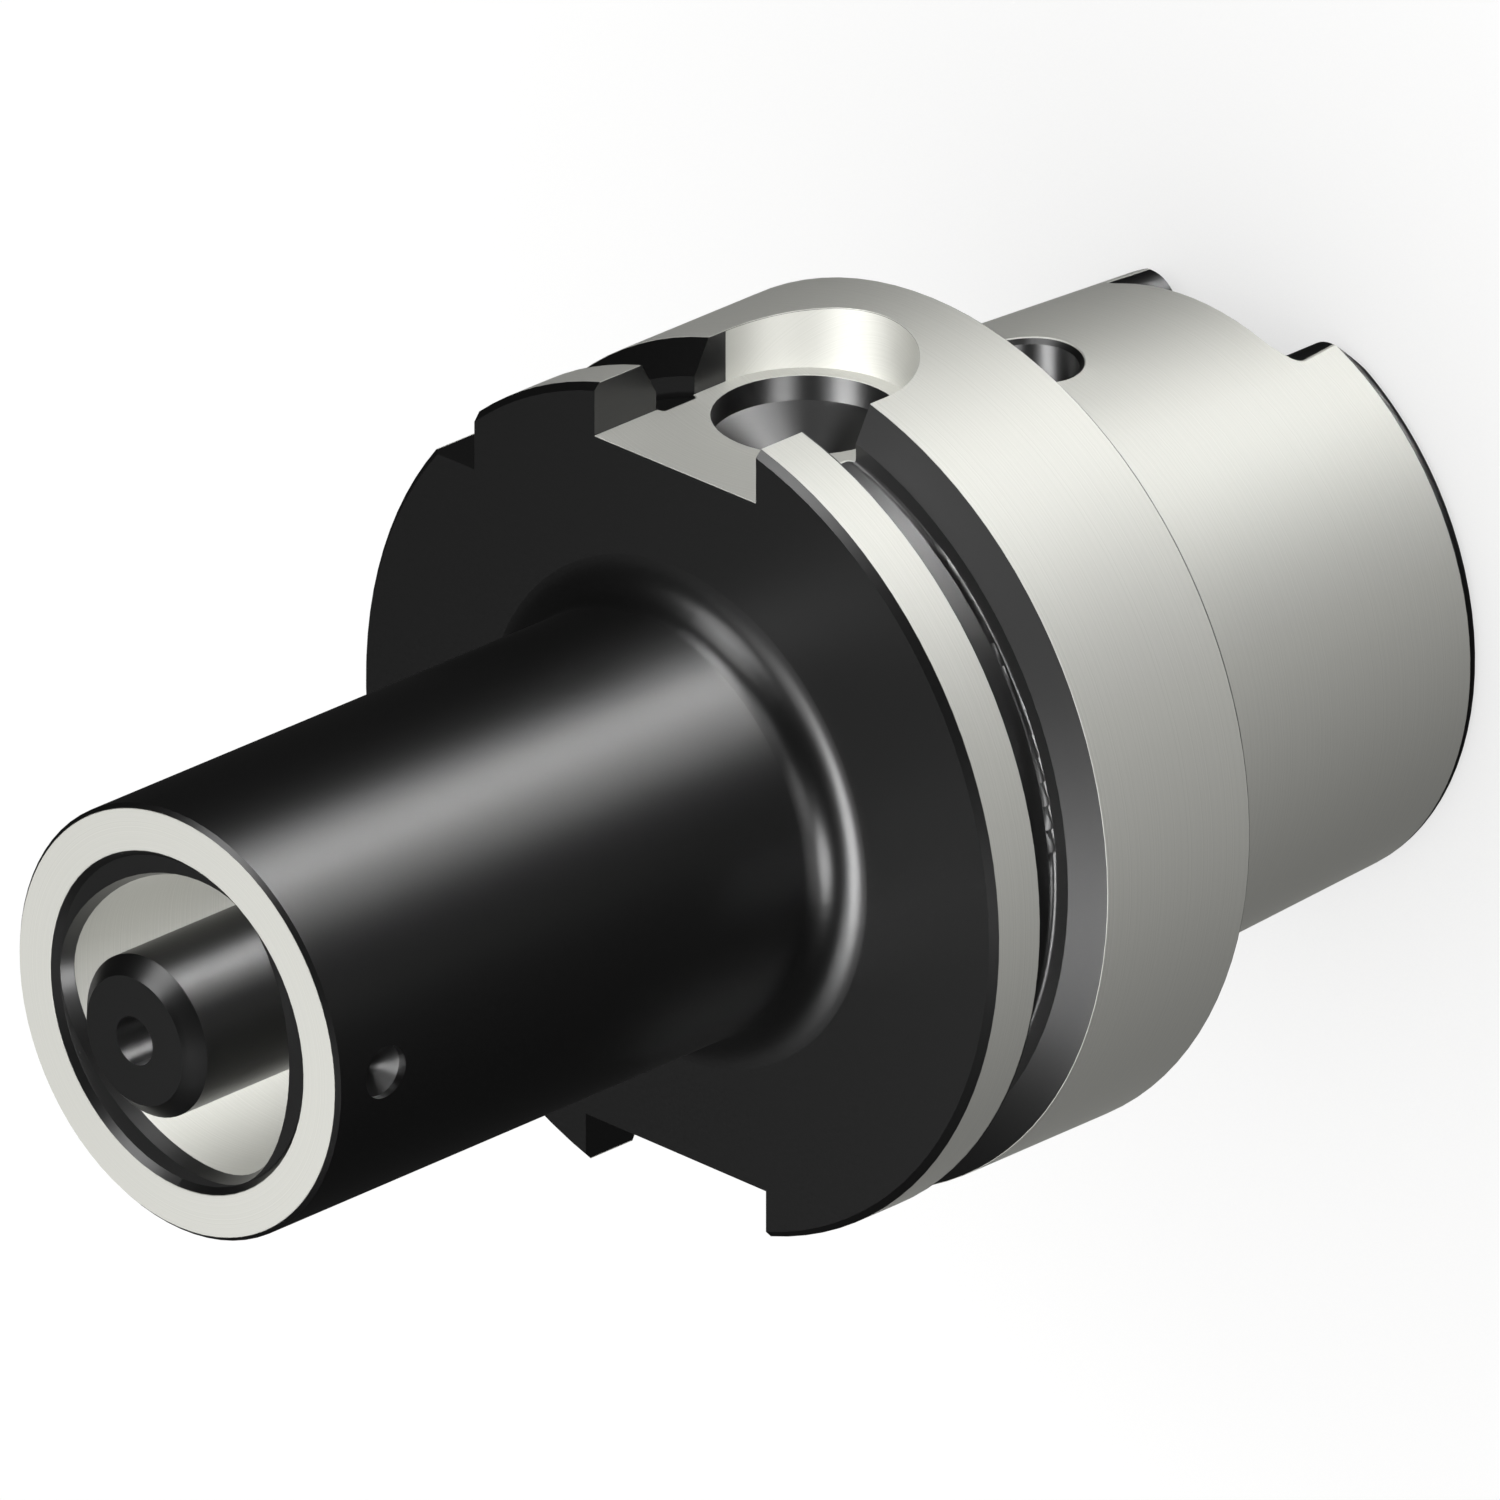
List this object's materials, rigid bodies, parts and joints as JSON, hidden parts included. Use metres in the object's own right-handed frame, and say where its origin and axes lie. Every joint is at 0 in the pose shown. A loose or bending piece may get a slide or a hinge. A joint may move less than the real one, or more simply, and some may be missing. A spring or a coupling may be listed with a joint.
{
  "type": "tool holder adapter",
  "caption": "Tool holder adapter with a hollow taper shank, a gripper flange and a slender round nose that holds a three-lobe taper socket round a captive centre bolt.",
  "frame": {"origin": "on the axis, in the plane of the flange's face that seats on the spindle", "axes": "+Z along the axis from the shank to the nose, +Y to the narrow keyway in the flange"},
  "size_m": [0.063, 0.063, 0.111],
  "materials": {
    "body_steel": "black oxide, with bare ground steel on the taper, the seating face, the flange lands, the nose face and the socket",
    "bolt_steel": "black oxide",
    "ring_steel": "black oxide",
    "seal_rubber": "matt black"
  },
  "bodies": {
    "adapter": {"adapter_body": "body_steel", "bolt_retaining_ring": "ring_steel"},
    "bolt": {"centre_bolt": "bolt_steel", "bolt_seal_ring": "seal_rubber"}
  },
  "joints": [
    {"name": "bolt_turn", "type": "hinge", "parent": "adapter", "child": "bolt", "pos_m": [0, 0, 0.054], "axis": [0, 0, 1], "continuous": true}
  ]
}
